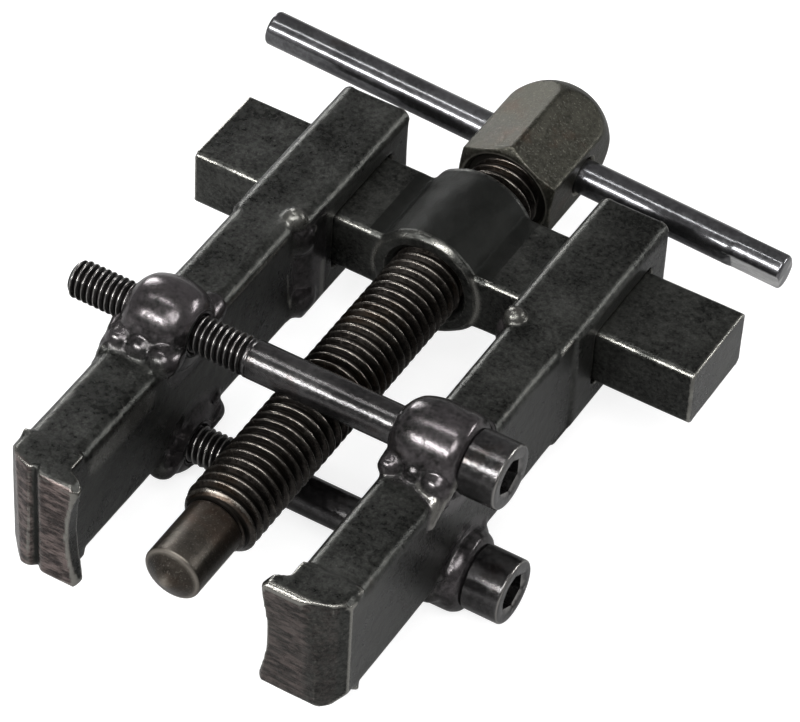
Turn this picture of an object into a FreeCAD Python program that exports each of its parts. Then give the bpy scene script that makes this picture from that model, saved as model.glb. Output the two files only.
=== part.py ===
import FreeCAD, Part
import math
import os
import Sketcher
from FreeCAD import Placement, Rotation, Vector

# Two-leg gear puller. Millimetres, +Z up. The origin is on the forcing screw's axis, in the plane
# where the cone of the centre point begins. +Y runs from the point to the hexagonal cap, and +X runs
# along the crossbar towards the heads of the clamp screws.

doc = FreeCAD.newDocument("gear_puller")

drivingDimensions = {
    # crossbar
    "bar_left": 40.5,
    "bar_right": 44.5,
    "bar_depth": 16,
    "bar_height": 10.2,
    "bar_bevel": 0.7,
    "bar_station": 76.4,
    "hub_dia": 18.5,
    "hub_front": 8.4,
    "hub_rear": 9.2,
    "hub_bevel": 0.8,
    "hub_bore": 12.1,
    "hub_countersink": 1,
    # legs
    "leg_centre": 0.6,
    "leg_inner": 17.7,
    "leg_outer": 27.6,
    "leg_height": 20,
    "leg_bevel": 1.1,
    "leg_nose": 3,
    "loop_inner": 16.3,
    "loop_outer": 28.1,
    "loop_front": 62.4,
    "loop_rear": 90.2,
    "loop_bevel": 0.8,
    "column_dia": 8,
    "column_height": 18.8,
    "slide_gap": 0.3,
    # claws
    "claw_front": 2.6,
    "claw_tip": 14.7,
    "claw_height": 20.6,
    "tip_thick": 2.3,
    "catch_rise": 1.1,
    "face_outer": 24.2,
    "tip_corner": 0.8,
    "claw_arc": 27,
    "claw_arc_depth": 1.6,
    # clamp screws and their bosses
    "clamp_station": 31.7,
    "clamp_offset": 11.3,
    "boss_dia": 12.8,
    "boss_inner": 16.6,
    "boss_end": 27.6,
    "upper_seat": 28.3,
    "lower_seat": 30.3,
    "boss_round": 1.6,
    "boss_thread": 6.1,
    "boss_clear": 6.6,
    "clamp_dia": 6,
    "clamp_length": 66,
    "clamp_point": 0.6,
    "head_dia": 10,
    "head_height": 6,
    "head_bevel": 0.5,
    "head_gap": 0.05,
    "socket_flats": 5,
    "socket_depth": 3.4,
    # forcing screw, centre point, cap
    "screw_dia": 12,
    "screw_front": 10.9,
    "screw_rear": 109,
    "screw_bevel": 1,
    "point_dia": 9,
    "point_cone": 2.5,
    "point_gap": 0.05,
    "spigot_dia": 5,
    "spigot_length": 8,
    "spigot_bore": 5.1,
    "cap_front": 91.4,
    "cap_flats": 16,
    "cap_dome": 105.4,
    "cap_bore": 12.04,
    "cap_bevel": 0.6,
    "cap_hole": 6,
    "screw_turn": 3,
    # tommy bar
    "handle_station": 101.8,
    "handle_dia": 5.5,
    "handle_left": 47.4,
    "handle_right": 42.7,
    "handle_bevel": 0.6,
    "flat_start": 10,
    "flat_end": 1,
    "flat_width": 6.3,
    "flat_thick": 4.3,
    "flat_turn": 110,
}


def fillSheet():
    sheet = doc.addObject("Spreadsheet::Sheet", "dims")
    for row, (alias, value) in enumerate(drivingDimensions.items(), start=1):
        sheet.set(f"A{row}", alias)
        sheet.set(f"B{row}", str(value))
        sheet.setAlias(f"B{row}", alias)
    doc.recompute()
    return sheet


dims = fillSheet()


def bound(expression):
    """Write the sheet's name before each alias of an expression."""
    words = []
    word = ""
    for letter in expression + " ":
        if letter.isalnum() or letter == "_":
            word += letter
            continue
        words.append(f"dims.{word}" if word in drivingDimensions else word)
        words.append(letter)
        word = ""
    return "".join(words).strip()


def value(expression):
    return float(dims.evalExpression(bound(expression)))


def makeBody(name):
    body = doc.addObject("PartDesign::Body", name)
    body.Label = name
    return body


def makeSketch(body, name, plane, offset="0"):
    """A sketch on one of the body's own origin planes, moved along the plane's normal."""
    sketch = body.newObject("Sketcher::SketchObject", f"{body.Name}_{name}")
    support = [item for item in body.Origin.OriginFeatures if item.Role == plane][0]
    sketch.AttachmentSupport = (support, "")
    sketch.MapMode = "FlatFace"
    sketch.setExpression("AttachmentOffset.Base.z", bound(offset))
    return sketch


def fixPoint(sketch, geometry, end, across, up):
    """Hold one end of a sketch line at two expressions."""
    originPoint, horizontalAxis, verticalAxis = (-1, 1), -1, -2
    for kind, expression, axis in (("DistanceX", across, verticalAxis), ("DistanceY", up, horizontalAxis)):
        if abs(value(expression)) < 1e-9:
            sketch.addConstraint(Sketcher.Constraint("PointOnObject", geometry, end, axis))
            continue
        index = sketch.addConstraint(
            Sketcher.Constraint(kind, *originPoint, geometry, end, value(expression))
        )
        sketch.setExpression(f"Constraints[{index}]", bound(expression))


def addOutline(sketch, corners):
    """A closed outline of straight lines through corners given as pairs of expressions."""
    points = [Vector(value(across), value(up), 0) for across, up in corners]
    first = sketch.GeometryCount
    count = len(points)
    for start in range(count):
        sketch.addGeometry(Part.LineSegment(points[start], points[(start + 1) % count]), False)
    for start in range(count):
        following = first + (start + 1) % count
        sketch.addConstraint(Sketcher.Constraint("Coincident", first + start, 2, following, 1))
    for start, (across, up) in enumerate(corners):
        fixPoint(sketch, first + start, 1, across, up)


def addCircle(sketch, across, up, diameter):
    centre = Vector(value(across), value(up), 0)
    index = sketch.addGeometry(Part.Circle(centre, Vector(0, 0, 1), value(diameter) / 2), False)
    fixPoint(sketch, index, 3, across, up)
    size = sketch.addConstraint(Sketcher.Constraint("Diameter", index, value(diameter)))
    sketch.setExpression(f"Constraints[{size}]", bound(diameter))


def bevelledBox(low, high, bottom, top, bevel):
    """Corners of a rectangle with its four corners cut off at 45 degrees."""
    return [
        (f"{low} + {bevel}", bottom),
        (f"{high} - {bevel}", bottom),
        (high, f"{bottom} + {bevel}"),
        (high, f"{top} - {bevel}"),
        (f"{high} - {bevel}", top),
        (f"{low} + {bevel}", top),
        (low, f"{top} - {bevel}"),
        (low, f"{bottom} + {bevel}"),
    ]


def addPad(body, sketch, length, midplane=False, reverse=False):
    pad = body.newObject("PartDesign::Pad", f"{sketch.Name}_pad")
    pad.Profile = sketch
    pad.setExpression("Length", bound(length))
    pad.Midplane = midplane
    pad.Reversed = reverse
    doc.recompute()
    return pad


def addPocket(body, sketch, length, midplane=False, reverse=False):
    before = body.Shape.Volume
    pocket = body.newObject("PartDesign::Pocket", f"{sketch.Name}_pocket")
    pocket.Profile = sketch
    pocket.setExpression("Length", bound(length))
    pocket.Midplane = midplane
    pocket.Reversed = reverse
    doc.recompute()
    if not body.Shape.Volume < before:
        raise RuntimeError(f"{pocket.Name} removes nothing")
    return pocket


def addTurned(body, sketch, axis, cut=False):
    """Turn a sketch a full circle about its own H_Axis or V_Axis, as metal or as a cut."""
    before = body.Shape.Volume if cut else 0
    kind = "PartDesign::Groove" if cut else "PartDesign::Revolution"
    turned = body.newObject(kind, f"{sketch.Name}_turned")
    turned.Profile = sketch
    turned.ReferenceAxis = (sketch, [axis])
    turned.Angle = 360
    doc.recompute()
    if cut and not body.Shape.Volume < before:
        raise RuntimeError(f"{turned.Name} removes nothing")
    return turned


def hexagon(flats, turn="0"):
    """Corners of a hexagon about the origin, with one corner up when turn is 0."""
    reach = f"{flats} / 2 / cos(30)"
    return [
        (f"{reach} * sin({60 * side} + {turn})", f"{reach} * cos({60 * side} + {turn})")
        for side in range(6)
    ]


def makeCrossbar():
    body = makeBody("crossbar")
    section = makeSketch(body, "section", "YZ_Plane", "-bar_left")
    front, rear = "bar_station - bar_depth / 2", "bar_station + bar_depth / 2"
    addOutline(section, bevelledBox(front, rear, "-bar_height / 2", "bar_height / 2", "bar_bevel"))
    addPad(body, section, "bar_left + bar_right")

    # the hub's section, turned about the screw's axis
    near, far = "bar_station - hub_front", "bar_station + hub_rear"
    hub = makeSketch(body, "hub", "XY_Plane")
    addOutline(hub, [
        ("0", near),
        ("hub_dia / 2 - hub_bevel", near),
        ("hub_dia / 2", f"{near} + hub_bevel"),
        ("hub_dia / 2", f"{far} - hub_bevel"),
        ("hub_dia / 2 - hub_bevel", far),
        ("0", far),
    ])
    addTurned(body, hub, "V_Axis")

    bore = makeSketch(body, "bore", "XY_Plane")
    addOutline(bore, [
        ("0", near),
        ("hub_bore / 2 + hub_countersink", near),
        ("hub_bore / 2", f"{near} + hub_countersink"),
        ("hub_bore / 2", f"{far} - hub_countersink"),
        ("hub_bore / 2 + hub_countersink", far),
        ("0", far),
    ])
    addTurned(body, bore, "V_Axis", cut=True)
    return body


def makeRightLeg():
    body = makeBody("right_leg")
    bottom, top = "-leg_height / 2", "leg_height / 2"

    # the bar, from the loop to the claw; the plane's normal is -Y
    bar = makeSketch(body, "bar", "XZ_Plane", "-loop_front")
    addOutline(bar, bevelledBox("leg_inner", "leg_outer", bottom, top, "leg_bevel"))
    addPad(body, bar, "loop_front - leg_nose")

    loop = makeSketch(body, "loop", "XZ_Plane", "-loop_rear")
    addOutline(loop, bevelledBox("loop_inner", "loop_outer", bottom, top, "leg_bevel"))
    addPad(body, loop, "loop_rear - loop_front")

    # half-round column where the loop steps in to the bar
    column = makeSketch(body, "column", "XY_Plane")
    addCircle(column, "loop_inner + column_dia / 2", "loop_front", "column_dia")
    addPad(body, column, "column_height", midplane=True)

    # the claw, seen from above
    claw = makeSketch(body, "claw", "XY_Plane")
    catchRoot = "tip_thick + catch_rise - claw_front"
    addOutline(claw, [
        ("leg_inner", "leg_nose + leg_bevel"),
        ("leg_inner", catchRoot),
        ("claw_tip + tip_corner", "tip_thick - claw_front"),
        ("claw_tip", "tip_thick - tip_corner - claw_front"),
        ("claw_tip", "tip_corner - claw_front"),
        ("claw_tip + tip_corner", "-claw_front"),
        ("face_outer", "-claw_front"),
        ("leg_outer", "leg_outer - face_outer - claw_front"),
        ("leg_outer", "leg_nose + leg_bevel"),
    ])
    addPad(body, claw, "claw_height", midplane=True)

    # the claw's gripping edge is hollowed to a bearing's outer ring
    grip = makeSketch(body, "grip", "XZ_Plane", "claw_front + 1")
    addCircle(grip, "claw_tip + claw_arc_depth - claw_arc", "0", "claw_arc * 2")
    addPocket(body, grip, "claw_front + leg_nose + 2", reverse=False)

    window = makeSketch(body, "window", "YZ_Plane")
    reach = "(bar_depth / 2 + slide_gap)"
    half = "(bar_height / 2 + slide_gap)"
    addOutline(window, [
        (f"bar_station - {reach}", f"-{half}"),
        (f"bar_station + {reach}", f"-{half}"),
        (f"bar_station + {reach}", half),
        (f"bar_station - {reach}", half),
    ])
    addPocket(body, window, "loop_outer + leg_bevel", reverse=True)

    seats = makeSketch(body, "seats", "YZ_Plane")
    for side in ("", "-"):
        addCircle(seats, "clamp_station", f"{side}clamp_offset", "boss_dia")
    addPocket(body, seats, "loop_outer + leg_bevel", reverse=True)

    rearFaces = [
        f"Face{number}" for number, face in enumerate(body.Shape.Faces, start=1)
        if abs(face.CenterOfMass.y - value("loop_rear")) < 1e-6
    ]
    pocketed = body.Tip
    chamfer = body.newObject("PartDesign::Chamfer", "right_leg_rear_chamfer")
    chamfer.Base = (pocketed, rearFaces)
    chamfer.setExpression("Size", bound("loop_bevel"))
    body.setExpression("Placement.Base.x", bound("leg_centre"))
    doc.recompute()
    return body


def makeLeftLeg(rightLeg):
    leg = doc.addObject("Part::Mirroring", "left_leg")
    leg.Label = "left_leg"
    leg.Source = rightLeg
    leg.Normal = Vector(1, 0, 0)
    leg.setExpression("Base.x", bound("leg_centre"))
    return leg


def placeOnClampAxis(body, level):
    body.setExpression("Placement.Base.x", bound("leg_centre"))
    body.setExpression("Placement.Base.y", bound("clamp_station"))
    body.setExpression("Placement.Base.z", bound(f"{level} * clamp_offset"))


def makeBoss(name, near, far, level, bore):
    """A welded sleeve from near to far along X that a clamp screw passes through."""
    body = makeBody(name)
    section = makeSketch(body, "section", "XY_Plane")
    addOutline(section, [
        (near, f"{bore} / 2"),
        (near, "boss_dia / 2 - boss_round"),
        (f"{near} + boss_round / 3", "boss_dia / 2 - boss_round / 3"),
        (f"{near} + boss_round", "boss_dia / 2"),
        (f"{far} - boss_round", "boss_dia / 2"),
        (f"{far} - boss_round / 3", "boss_dia / 2 - boss_round / 3"),
        (far, "boss_dia / 2 - boss_round"),
        (far, f"{bore} / 2"),
    ])
    addTurned(body, section, "H_Axis")
    placeOnClampAxis(body, level)
    return body


def makeClampScrew(name, end, level):
    body = makeBody(name)
    seat = f"{end} + head_gap"
    face = f"{seat} + head_height"
    tip = f"{seat} - clamp_length"
    section = makeSketch(body, "section", "XY_Plane")
    addOutline(section, [
        (tip, "0"),
        (tip, "clamp_dia / 2 - clamp_point"),
        (f"{tip} + clamp_point", "clamp_dia / 2"),
        (seat, "clamp_dia / 2"),
        (seat, "head_dia / 2 - head_bevel / 2"),
        (f"{seat} + head_bevel / 2", "head_dia / 2"),
        (f"{face} - head_bevel", "head_dia / 2"),
        (face, "head_dia / 2 - head_bevel"),
        (face, "0"),
    ])
    addTurned(body, section, "H_Axis")
    socket = makeSketch(body, "socket", "YZ_Plane", face)
    addOutline(socket, hexagon("socket_flats"))
    addPocket(body, socket, "socket_depth")
    placeOnClampAxis(body, level)
    return body


def makeForcingScrew():
    body = makeBody("forcing_screw")
    section = makeSketch(body, "section", "XY_Plane")
    addOutline(section, [
        ("0", "screw_front + spigot_length + screw_bevel"),
        ("spigot_bore / 2", "screw_front + spigot_length + screw_bevel"),
        ("spigot_bore / 2", "screw_front"),
        ("screw_dia / 2 - screw_bevel", "screw_front"),
        ("screw_dia / 2", "screw_front + screw_bevel"),
        ("screw_dia / 2", "screw_rear - screw_bevel"),
        ("screw_dia / 2 - screw_bevel", "screw_rear"),
        ("0", "screw_rear"),
    ])
    addTurned(body, section, "V_Axis")
    drilling = makeSketch(body, "drilling", "YZ_Plane")
    addCircle(drilling, "handle_station", "0", "cap_hole")
    addPocket(body, drilling, "screw_dia * 2", midplane=True)
    turnWithScrew(body)
    return body


def makeCentrePoint():
    body = makeBody("centre_point")
    section = makeSketch(body, "section", "XY_Plane")
    shoulder = "screw_front - point_gap"
    addOutline(section, [
        ("0", "-point_cone"),
        ("point_dia / 2", "0"),
        ("point_dia / 2", shoulder),
        ("spigot_dia / 2", shoulder),
        ("spigot_dia / 2", "screw_front + spigot_length"),
        ("0", "screw_front + spigot_length"),
    ])
    addTurned(body, section, "V_Axis")
    return body


def makeHexCap():
    body = makeBody("hex_cap")
    end = "cap_dome + cap_flats / 2 / cos(30)"
    reach = "cap_flats / 2 / cos(30)"
    prism = makeSketch(body, "prism", "XZ_Plane", "-cap_front")
    addOutline(prism, hexagon("cap_flats"))
    addPad(body, prism, f"{end} - cap_front", reverse=True)

    # the corners are turned off: a quarter circle over the rear end, a small bevel at the front
    rear = makeSketch(body, "rear", "XY_Plane")
    dome, radius, outside = value("cap_dome"), value(reach), value(reach) + 1
    corner = [Vector(radius, dome, 0), Vector(outside, dome, 0), Vector(outside, dome + outside, 0),
              Vector(0, dome + outside, 0), Vector(0, dome + radius, 0)]
    for start, finish in zip(corner, corner[1:]):
        rear.addGeometry(Part.LineSegment(start, finish), False)
    circle = Part.Circle(Vector(0, dome, 0), Vector(0, 0, 1), radius)
    arc = rear.addGeometry(Part.ArcOfCircle(circle, 0, math.pi / 2), False)
    for line in range(3):
        rear.addConstraint(Sketcher.Constraint("Coincident", line, 2, line + 1, 1))
    rear.addConstraint(Sketcher.Constraint("Coincident", arc, 1, 0, 1))
    rear.addConstraint(Sketcher.Constraint("Coincident", arc, 2, 3, 2))
    fixPoint(rear, arc, 3, "0", "cap_dome")
    fixPoint(rear, 0, 1, reach, "cap_dome")
    fixPoint(rear, 1, 1, f"{reach} + 1", "cap_dome")
    fixPoint(rear, 2, 1, f"{reach} + 1", f"{end} + 1")
    fixPoint(rear, 3, 1, "0", f"{end} + 1")
    rear.addConstraint(Sketcher.Constraint("PointOnObject", arc, 2, -2))
    addTurned(body, rear, "V_Axis", cut=True)

    front = makeSketch(body, "front", "XY_Plane")
    addOutline(front, [
        (f"{reach} - cap_bevel * 2", "cap_front - 1"),
        (f"{reach} + cap_bevel", "cap_front - 1"),
        (f"{reach} + cap_bevel", "cap_front + cap_bevel * 1.5"),
        (f"{reach} - cap_bevel * 2", "cap_front"),
    ])
    addTurned(body, front, "V_Axis", cut=True)

    bore = makeSketch(body, "bore", "XZ_Plane", "-cap_front")
    addCircle(bore, "0", "0", "cap_bore")
    addPocket(body, bore, "screw_rear - cap_front", reverse=False)

    drilling = makeSketch(body, "drilling", "YZ_Plane")
    addCircle(drilling, "handle_station", "0", "cap_hole")
    addPocket(body, drilling, "cap_flats * 2", midplane=True)
    turnWithScrew(body)
    return body


def turnWithScrew(body):
    """Turn a piece about the screw's axis to where the screw was last left."""
    body.Placement = Placement(Vector(0, 0, 0), Rotation(Vector(0, 1, 0), value("screw_turn")))
    body.setExpression("Placement.Rotation.Angle", bound("screw_turn"))


def makeTommyBar():
    body = makeBody("tommy_bar")
    left, right = "-handle_left", "handle_right"
    section = makeSketch(body, "section", "XY_Plane")
    addOutline(section, [
        (left, "0"),
        (left, "handle_dia / 2 - handle_bevel"),
        (f"{left} + handle_bevel", "handle_dia / 2"),
        (f"{right} - handle_bevel", "handle_dia / 2"),
        (right, "handle_dia / 2 - handle_bevel"),
        (right, "0"),
    ])
    addTurned(body, section, "H_Axis")

    # the right end is pressed flat and a little wide, so that it can't pass through the cap
    low, high = f"{right} - flat_start", f"{right} - flat_end"
    wing = makeSketch(body, "wing", "XY_Plane")
    addOutline(wing, bevelledBox(low, high, "-flat_width / 2", "flat_width / 2", "flat_width / 10"))
    addPad(body, wing, "flat_thick * 0.5", midplane=True)
    for level, word in (("", "upper"), ("-", "lower")):
        face = makeSketch(body, f"{word}_face", "XY_Plane", f"{level}flat_thick / 2")
        addOutline(face, [
            (low, "-flat_width"), (high, "-flat_width"), (high, "flat_width"), (low, "flat_width"),
        ])
        addPocket(body, face, "handle_dia", reverse=(level == ""))

    roll = Rotation(Vector(1, 0, 0), value("flat_turn"))
    tilt = Rotation(Vector(0, 1, 0), value("screw_turn"))
    body.Placement = Placement(Vector(0, value("handle_station"), 0), tilt.multiply(roll))
    body.setExpression("Placement.Base.y", bound("handle_station"))
    return body


def makePuller():
    rightLeg = makeRightLeg()
    pieces = [makeCrossbar(), rightLeg, makeLeftLeg(rightLeg)]
    for levelName, level in (("upper", 1), ("lower", -1)):
        seat = f"{levelName}_seat"
        pieces.append(makeBoss(f"left_{levelName}_boss", "-boss_end", "-boss_inner", level, "boss_thread"))
        pieces.append(makeBoss(f"right_{levelName}_boss", "boss_inner", seat, level, "boss_clear"))
        pieces.append(makeClampScrew(f"{levelName}_clamp_screw", seat, level))
    pieces += [makeForcingScrew(), makeCentrePoint(), makeHexCap(), makeTommyBar()]
    return pieces


def writeParts(pieces):
    doc.recompute()
    for item in doc.Objects:
        if "Invalid" in item.State or "Error" in item.State:
            raise RuntimeError(f"{item.Name} did not compute: {item.State}")
    for piece in pieces:
        if piece.Shape.isNull() or not piece.Shape.isValid():
            raise RuntimeError(f"{piece.Label} has no valid shape")
        print(piece.Label, len(piece.Shape.Solids), round(piece.Shape.Volume, 1), piece.Shape.BoundBox)
    os.makedirs("parts", exist_ok=True)
    for piece in pieces:
        piece.Shape.exportStep(f"parts/{piece.Label}.step")


writeParts(makePuller())
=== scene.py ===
import bpy
import bmesh
import math
import random
import numpy as np
from mathutils import Matrix, Vector, noise


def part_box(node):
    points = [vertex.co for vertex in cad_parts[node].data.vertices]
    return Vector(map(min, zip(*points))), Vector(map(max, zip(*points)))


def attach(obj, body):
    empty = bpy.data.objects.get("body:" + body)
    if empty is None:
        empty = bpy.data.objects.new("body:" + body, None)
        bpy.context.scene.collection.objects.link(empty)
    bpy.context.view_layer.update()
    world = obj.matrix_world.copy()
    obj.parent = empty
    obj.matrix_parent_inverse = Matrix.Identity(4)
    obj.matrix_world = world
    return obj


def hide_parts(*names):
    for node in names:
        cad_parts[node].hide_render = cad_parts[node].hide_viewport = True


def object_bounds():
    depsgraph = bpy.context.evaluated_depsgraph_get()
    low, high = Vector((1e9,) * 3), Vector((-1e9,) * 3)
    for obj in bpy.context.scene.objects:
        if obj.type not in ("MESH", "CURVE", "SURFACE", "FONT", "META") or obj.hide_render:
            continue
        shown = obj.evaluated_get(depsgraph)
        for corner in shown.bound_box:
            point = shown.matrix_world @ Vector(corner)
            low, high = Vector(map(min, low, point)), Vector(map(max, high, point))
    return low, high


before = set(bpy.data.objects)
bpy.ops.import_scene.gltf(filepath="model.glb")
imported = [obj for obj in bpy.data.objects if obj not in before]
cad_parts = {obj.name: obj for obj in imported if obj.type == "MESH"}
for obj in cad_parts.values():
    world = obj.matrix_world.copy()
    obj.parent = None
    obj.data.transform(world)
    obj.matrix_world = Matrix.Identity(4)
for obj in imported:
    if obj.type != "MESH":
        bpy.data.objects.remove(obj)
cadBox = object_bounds()
mm = 0.001
scene = bpy.context.scene

# along +Y stays as it is, along +X is a quarter turn of it
alongY = Matrix.Identity(4)
alongX = Matrix.Rotation(-math.pi / 2, 4, "Z")
screwTurn = math.radians(3)  # where the forcing screw was last left


def newPiece(name, mesh, material=None):
    piece = bpy.data.objects.new(name, mesh)
    scene.collection.objects.link(piece)
    if material:
        piece.data.materials.clear()
        piece.data.materials.append(material)
    return piece


def flattened(piece):
    # the modifiers' result becomes the piece's own mesh
    result = bpy.data.meshes.new_from_object(piece.evaluated_get(bpy.context.evaluated_depsgraph_get()))
    piece.modifiers.clear()
    piece.data = result
    return piece


def finished(piece, body, slot, *nodes):
    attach(piece, body)
    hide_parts(*nodes)
    return piece


def cadCopy(shape, *nodes):
    # CAD meshes are loose triangles, so each copy is merged on its own
    for node in nodes:
        before = len(shape.verts)
        shape.from_mesh(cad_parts[node].data)
        shape.verts.ensure_lookup_table()
        bmesh.ops.remove_doubles(shape, verts=shape.verts[before:], dist=1e-7)
        shape.verts.ensure_lookup_table()


def addLump(shape, place, radii):
    spot = Matrix.Translation(place) @ Matrix.Diagonal((*radii, 1))
    bmesh.ops.create_icosphere(shape, subdivisions=3, radius=1, matrix=spot)


def addBead(shape, points, radius, spacing, seed=1):
    # a run of weld: ripples of uneven size laid along straight stretches
    dice = random.Random(seed)
    for start, end in zip(points, points[1:]):
        start, end = Vector(start), Vector(end)
        count = max(2, round((end - start).length / spacing))
        for step in range(count + 1):
            size = radius * dice.uniform(0.70, 1.08)
            wander = Vector([dice.uniform(-0.16, 0.16) * radius for axis in range(3)])
            addLump(shape, start.lerp(end, step / count) + wander, (size, size, size))


def roundedOutline(corners, steps=5):
    # corners are (along, radius, rounding); each rounding becomes an arc between its two sides
    outline = []
    for index, (along, radius, rounding) in enumerate(corners):
        here = Vector((along, radius))
        if not rounding or index in (0, len(corners) - 1):
            outline.append((along, radius))
            continue
        back = (Vector(corners[index - 1][:2]) - here).normalized()
        ahead = (Vector(corners[index + 1][:2]) - here).normalized()
        half = back.angle(ahead) / 2
        reach = rounding / math.tan(half)
        centre = here + (back + ahead).normalized() * (rounding / math.sin(half))
        first, last = here + back * reach - centre, here + ahead * reach - centre
        sweep = first.angle_signed(last)
        for step in range(steps + 1):
            turn = Matrix.Rotation(-sweep * step / steps, 2)
            outline.append(tuple(centre + turn @ first))
    return outline


def turnedMesh(name, outline, columns=96, shape=None, place=(0, 0, 0), lie=alongY):
    # outline is (along, radius) from one end to the other, shape changes a radius at an angle
    points, faces = [], []
    for along, radius in outline:
        for column in range(columns):
            angle = 2 * math.pi * column / columns
            reach = shape(angle, along, radius) if shape else radius
            points.append((reach * math.sin(angle), along, reach * math.cos(angle)))
    for ring in range(len(outline) - 1):
        for column in range(columns):
            following = (column + 1) % columns
            low, high = ring * columns, (ring + 1) * columns
            faces.append((low + column, low + following, high + following, high + column))
    for ring, flip in ((0, True), (len(outline) - 1, False)):
        pole = len(points)
        points.append((0, outline[ring][0], 0))
        for column in range(columns):
            rim = (ring * columns + column, ring * columns + (column + 1) % columns)
            faces.append((rim[1], rim[0], pole) if flip else (rim[0], rim[1], pole))
    mesh = bpy.data.meshes.new(name)
    mesh.from_pydata(points, [], faces)
    mesh.transform(Matrix.Translation(place) @ lie)
    mesh.update()
    return mesh


def cutWith(piece, cutterMesh):
    cutter = newPiece("cutter", cutterMesh)
    cut = piece.modifiers.new("cut", "BOOLEAN")
    cut.operation, cut.solver, cut.object = "DIFFERENCE", "EXACT", cutter
    flattened(piece)
    bpy.data.objects.remove(cutter)
    return piece


def smoothShaded(piece, angle=32):
    piece.data.shade_smooth()
    piece.data.set_sharp_from_angle(angle=math.radians(angle))
    weighted = piece.modifiers.new("normals", "WEIGHTED_NORMAL")
    weighted.keep_sharp = True
    return flattened(piece)


def readValues(items, name, width=1, kind=float):
    # one property of all the vertices, edges, loops or faces
    values = np.empty(len(items) * width, kind)
    items.foreach_get(name, values)
    return values.reshape(-1, width) if width > 1 else values


def meshPoints(mesh):
    return readValues(mesh.vertices, "co", 3)


def movePoints(mesh, points):
    mesh.vertices.foreach_set("co", points.ravel())
    mesh.update()


def addMark(mesh, name, values):
    attribute = mesh.attributes.new(name, "FLOAT", "POINT")
    attribute.data.foreach_set("value", np.asarray(values, np.float32))


def markRelief(mesh, spread=1):
    # "relief" is the sharpest fold at each vertex in right angles: above 0 on edges, below 0 in corners
    corners = readValues(mesh.loops, "edge_index", 1, int)
    totals = readValues(mesh.polygons, "loop_total", 1, int)
    normals = readValues(mesh.polygons, "normal", 3)
    centres = readValues(mesh.polygons, "center", 3)
    ends = readValues(mesh.edges, "vertices", 2, int)
    owner = np.repeat(np.arange(len(totals)), totals)
    order = np.argsort(corners, kind="stable")
    edges, owner = corners[order], owner[order]
    paired = np.nonzero(edges[1:] == edges[:-1])[0]
    one, two, edge = owner[paired], owner[paired + 1], edges[paired]
    fold = np.arccos(np.clip((normals[one] * normals[two]).sum(1), -1, 1)) / (math.pi / 2)
    outward = ((centres[two] - centres[one]) * normals[one]).sum(1) < 0
    ridge, groove = np.zeros(len(mesh.vertices)), np.zeros(len(mesh.vertices))
    for side in (0, 1):
        np.maximum.at(ridge, ends[edge, side], np.where(outward, fold, 0))
        np.maximum.at(groove, ends[edge, side], np.where(outward, 0, fold))
    relief = ridge - groove
    for step in range(spread):
        total, count = relief.copy(), np.ones(len(relief))
        np.add.at(total, ends[:, 0], relief[ends[:, 1]])
        np.add.at(total, ends[:, 1], relief[ends[:, 0]])
        np.add.at(count, ends.ravel(), 1)
        relief = total / count
    addMark(mesh, "relief", relief)


def mathNode(tree, operation, *values):
    node = tree.nodes.new("ShaderNodeMath")
    node.operation = operation
    for socket, value in zip(node.inputs, values):
        if isinstance(value, (int, float)):
            socket.default_value = value
        else:
            tree.links.new(value, socket)
    return node.outputs[0]


def mathOn(tree):
    return lambda operation, *values: mathNode(tree, operation, *values)


def newGroup(called, inputs, outputs, treeKind="ShaderNodeTree"):
    tree = bpy.data.node_groups.new(called, treeKind)
    for name, kind, value in inputs:
        socket = tree.interface.new_socket(name, in_out="INPUT", socket_type=f"NodeSocket{kind}")
        if value is not None:
            socket.default_value = value
    for name, kind in outputs:
        tree.interface.new_socket(name, in_out="OUTPUT", socket_type=f"NodeSocket{kind}")
    return tree, tree.nodes.new("NodeGroupInput").outputs, tree.nodes.new("NodeGroupOutput").inputs


def ramp(tree, value, low, high, first=0.0, last=1.0):
    node = tree.nodes.new("ShaderNodeMapRange")
    node.interpolation_type = "SMOOTHSTEP"
    for name, amount in (("From Min", low), ("From Max", high), ("To Min", first), ("To Max", last)):
        node.inputs[name].default_value = amount
    tree.links.new(value, node.inputs["Value"])
    return node.outputs[0]


def noiseNode(tree, vector, scale, detail=4.0, roughness=0.55):
    node = tree.nodes.new("ShaderNodeTexNoise")
    tree.links.new(vector, node.inputs["Vector"])
    if isinstance(scale, (int, float)):
        node.inputs["Scale"].default_value = scale
    else:
        tree.links.new(scale, node.inputs["Scale"])
    node.inputs["Detail"].default_value = detail
    node.inputs["Roughness"].default_value = roughness
    return node.outputs["Fac"]


def mixColors(tree, mask, first, second):
    node = tree.nodes.new("ShaderNodeMix")
    node.data_type = "RGBA"
    sockets = [socket for socket in node.inputs if socket.enabled]
    for socket, value in zip(sockets, (mask, first, second)):
        if isinstance(value, (int, float)):
            socket.default_value = value
        elif isinstance(value, tuple):
            socket.default_value = (*value, 1)
        else:
            tree.links.new(value, socket)
    return [socket for socket in node.outputs if socket.enabled][0]


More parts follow.
